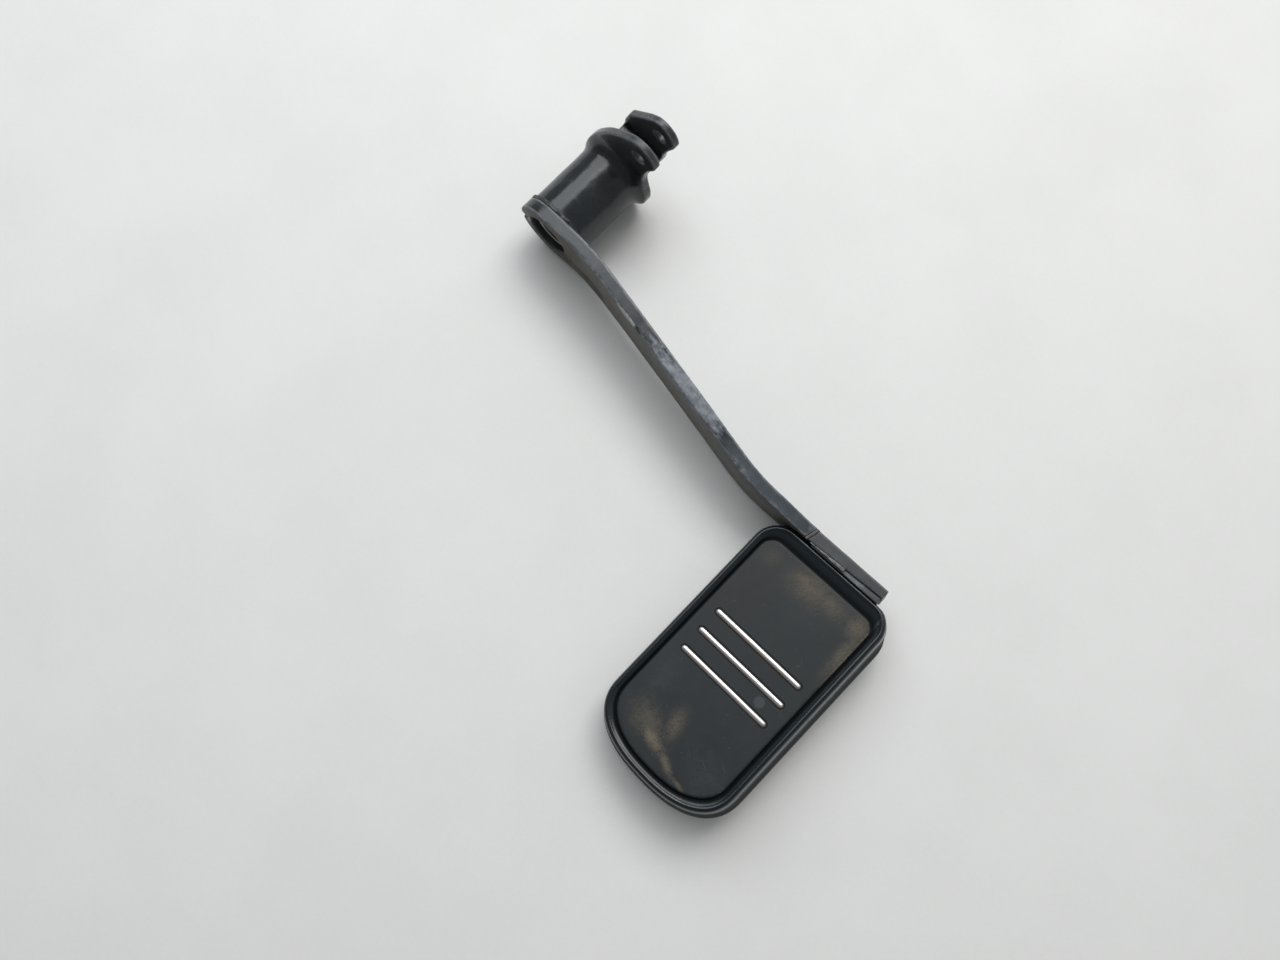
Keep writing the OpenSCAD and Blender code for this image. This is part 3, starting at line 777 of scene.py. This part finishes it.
arm_paint = paint("paint_arm", worn=(
    ((90.0, -34.0, 13.0), (50.0, 15.0, 8.0), 0, 0.95),
    # worn-thin patches toward the pad: wear, and partly painted sky sheen lightening the arm's top
    ((128.0, -46.0, 10.0), (24.0, 10.0, 7.0), 0, 0.62),
    ((156.0, -46.0, 8.0), (16.0, 9.0, 7.0), 0, 0.35),
    ((176.0, -40.0, 6.0), (10.0, 9.0, 7.0), 0, 0.42),
), scuffs=(
    ((112.0, -40.0, 12.0), (46.0, 16.0, 7.0), 0, 2.2, 0.84, 0.98, 0.55),
    ((0.0, -23.3, 0.0), (22.0, 2.0, 22.0), 0, 2.2, 0.78, 0.95, 0.45),
), bare=(
    ((55.0, -29.2, 14.4), (10.0, 1.7, 2.0), -10, 0.95),
    ((-15.6, -22.9, 1.0), (2.0, 2.2, 2.0), 0, 1.0),
    ((-11.4, -23.2, -0.6), (1.0, 0.9, 1.6), 0, 0.8),
), dark_brown_at=(
    # darker lower part of the eye's outboard face and of the arm's side beside it
    ((3.0, -23.3, -6.0), (18.0, 1.2, 9.0), 0, 0.8),
    ((26.0, -24.5, -6.0), (16.0, 3.0, 6.0), 0, 0.7),
), dust_and_sheen_films=(
    ((60.0, -26.0, 14.0), (70.0, 30.0, 14.0), 0, 0.04, (0.095, 0.130, 0.165)),
    # dust, and painted sky sheen: the arm's top toward the pad made paler blue-grey
    ((150.0, -44.0, 8.0), (52.0, 22.0, 10.0), 0, 0.38, (0.13, 0.158, 0.185)),
    # painted reflection: a light warm-grey band along the upper part of the eye's outboard face, where its chamfer
    # catches the window
    ((6.0, -23.3, 8.0), (22.0, 2.2, 13.0), 0, 0.80, (0.165, 0.155, 0.135)),
    # faint blue-grey film on the top near the eye: dust and painted sky sheen
    ((2.0, -16.0, 15.0), (16.0, 9.0, 9.0), 0, 0.09, (0.09, 0.11, 0.13)),
), marks=(
    ((-14.2, -23.2, -0.9), (2.6, 1.8, 1.6), 0, 0.95),
    ((61.5, -29.4, 13.8), (3.2, 1.4, 2.0), -20, 0.8),
), side_bounce_amount=0.80, edge_amount=1.0, gloss=0.21, rubbed=0.72)
hub_paint = paint("paint_hub", scuffs=(
    ((6.0, 20.0, 36.0), (16.0, 6.0, 12.0), 0, 1.6, 0.74, 0.92, 0.55),
    ((8.0, 33.0, 38.0), (12.0, 5.0, 8.0), 0, 1.5, 0.74, 0.92, 0.55),
), dust_and_sheen_films=(
    # dust, and painted reflection lightening the clevis ears
    ((8.0, 24.0, 34.0), (34.0, 20.0, 28.0), 0, 0.26, (0.13, 0.135, 0.135)),
    ((0.0, -4.0, 0.0), (24.0, 26.0, 24.0), 0, 0.02, (0.09, 0.12, 0.16)),
), edge_amount=0.75, gloss=0.17)
bar_paint = paint("paint_bar", worn=(
    ((188.0, -42.0, 6.0), (22.0, 5.0, 6.0), 0, 0.10),
), edge_amount=0.5, gloss=0.38, dust=0.4)
plate_paint = paint("paint_plate", worn=(
    # this worn patch and the film below: wear and dust, and painted reflection making the plate's margin along the bar
    # light blue-grey
    ((196.0, -42.3, 8.6), (24.0, 2.4, 3.0), 0, 0.62),
), dust_and_sheen_films=(
    ((190.0, -42.5, 8.0), (40.0, 4.0, 14.0), 0, 0.45, (0.17, 0.175, 0.18)),
), edge_amount=0.5, gloss=0.24)

place(softened("pedal_arm", "arm_flat_bar", 0.5, 4, 0.5, ((18.0, 0.10), (4.0, 0.035)),
               dents=(((-15.0, -23.3, -0.8), (2.8, 2.2, 1.5), 1.3),)), "pedal_arm", arm_paint)
place(softened("pivot_hub", "hub_forging", 0.5, 5, 0.5, ((9.0, 0.12), (3.0, 0.04))), "pivot_hub", hub_paint)
place(softened("end_bar", "bar_welded_end", 0.35, 4, 0.5, ((7.0, 0.06),)), "end_bar", bar_paint)
place(softened("seam_weld", "weld_seam", 0.2, 3, 0.5, ((2.4, 0.10), (0.8, 0.04))), "seam_weld",
      weld_material("weld_seam_metal", 0.12, (0.022, 0.024, 0.025), (0.044, 0.040, 0.034), 0.5))
place(softened("hub_weld", "weld_hub", 0.2, 3, 0.5, ((2.2, 0.35), (0.9, 0.16))), "hub_weld",
      weld_material("weld_hub_metal", 0.06, (0.012, 0.014, 0.016), (0.024, 0.022, 0.020)))
# the light grey of this fillet weld is partly painted reflection of the window on its tilted face
place(softened("plate_weld", "weld_plate", 0.12, 4, 0.5, ((3.0, 0.25), (1.0, 0.08))), "plate_weld",
      weld_material("weld_plate_metal", 0.30, (0.060, 0.068, 0.076), (0.095, 0.100, 0.106), 0.4))
place(bevelled("pad_plate", "plate_pressing", 0.35, 3), "pad_plate", plate_paint)
place(bushing("bushing_outboard", 3.0 - Y_MID, 15.0 - Y_MID), "outboard_bushing", bushing_material())
place(bushing("bushing_inboard", 33.6 - Y_MID, 45.6 - Y_MID), "inboard_bushing", bushing_material())
place(rubber(), "rubber_pad", rubber_material())
place(strips(), "metal_strips", strip_material())


# ---------------------------------------------------------------- stage, light, camera

def area_light(name, at, target, size, size_y, power, color=(1, 1, 1)):
    d = bpy.data.lights.new(name, "AREA")
    d.shape = "RECTANGLE"
    d.size, d.size_y = size, size_y
    d.energy = power
    d.color = color
    ob = bpy.data.objects.new(name, d)
    bpy.context.scene.collection.objects.link(ob)
    ob.location = at
    ob.rotation_euler = (Vector(target) - Vector(at)).to_track_quat("-Z", "Y").to_euler()
    return ob


fl = new_object("floor", [(-3, -3, FLOOR_Z), (3, -3, FLOOR_Z), (3, 3, FLOOR_Z), (-3, 3, FLOOR_Z)], [(0, 1, 2, 3)])
fl.data.materials.append(floor_material())

mid_at = (0.11, -0.06, 0.0)
area_light("window", (-0.60, 0.31, 1.12), mid_at, 0.95, 0.98, 8.6, (0.93, 0.97, 1.0))
area_light("wall_side", (-0.14, 0.82, 1.16), mid_at, 0.8, 0.65, 9.0, (1.0, 0.985, 0.96))

world = bpy.data.worlds.new("room")
world.use_nodes = True
wt = world.node_tree
bg = wt.nodes["Background"]
way = wt.nodes.new("ShaderNodeTexCoord")
xyz = wt.nodes.new("ShaderNodeSeparateXYZ")
wt.links.new(way.outputs["Generated"], xyz.inputs[0])
side = wt.nodes.new("ShaderNodeMapRange")
side.interpolation_type = "SMOOTHSTEP"
wt.links.new(xyz.outputs[1], side.inputs["Value"])
for k, v in (("From Min", -0.30), ("From Max", 0.80), ("To Min", 0.19), ("To Max", 0.55)):
    side.inputs[k].default_value = v
wt.links.new(side.outputs[0], bg.inputs["Strength"])
bg.inputs["Color"].default_value = (0.97, 0.985, 1.0, 1.0)
bpy.context.scene.world = world

cam_data = bpy.data.cameras.new("camera")
cam_data.sensor_width = 36.0
cam_data.lens = 962.0 / 1280.0 * 36.0
cam_data.clip_start, cam_data.clip_end = 0.01, 20.0
cam = bpy.data.objects.new("camera", cam_data)
bpy.context.scene.collection.objects.link(cam)
right = Vector((0.71707621, 0.69699477, 0.0)).normalized()
back = Vector((0.10061552, -0.1035144, 0.98952579)).normalized()
up = back.cross(right).normalized()
right = up.cross(back).normalized()
rot = Matrix((right, up, back)).transposed().to_4x4()
cam.matrix_world = Matrix.Translation((0.146546, -0.115370, 0.405)) @ rot
bpy.context.scene.camera = cam

vs = bpy.context.scene.view_settings
vs.view_transform = "Standard"
vs.look = "None"
vs.exposure = 0.0
vs.gamma = 1.0

bpy.context.view_layer.update()
